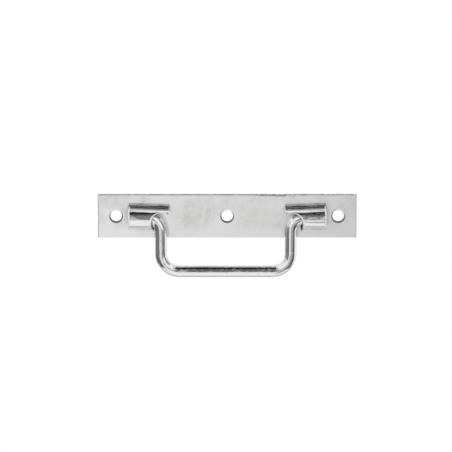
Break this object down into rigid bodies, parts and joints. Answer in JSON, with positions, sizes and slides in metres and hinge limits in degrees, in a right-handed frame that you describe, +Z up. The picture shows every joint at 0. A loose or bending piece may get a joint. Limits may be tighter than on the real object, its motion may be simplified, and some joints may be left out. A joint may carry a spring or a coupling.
{
  "type": "plate handle",
  "caption": "Steel drop handle: a bent wire bail that swings in two bridges pressed out of a screw-on plate.",
  "frame": {"origin": "axis of the middle screw hole, on the back face of the plate", "axes": "+X along the plate, +Z up as mounted on a wall; +Y out of the back face, so the front looks along -Y"},
  "size_m": [0.17, 0.0146, 0.0546],
  "materials": {
    "plate": "zinc plated sheet, pale grey and faintly cloudy",
    "wire": "bright zinc plated wire, smooth and glossy"
  },
  "bodies": {
    "plate": {"plate": "plate"},
    "handle": {"handle": "wire"}
  },
  "joints": [
    {"name": "handle_swing", "type": "hinge", "parent": "plate", "child": "handle", "pos_m": [-0.0009, -0.0063, -0.0005], "axis": [-1, 0, 0], "range_deg": [0, 90]}
  ]
}
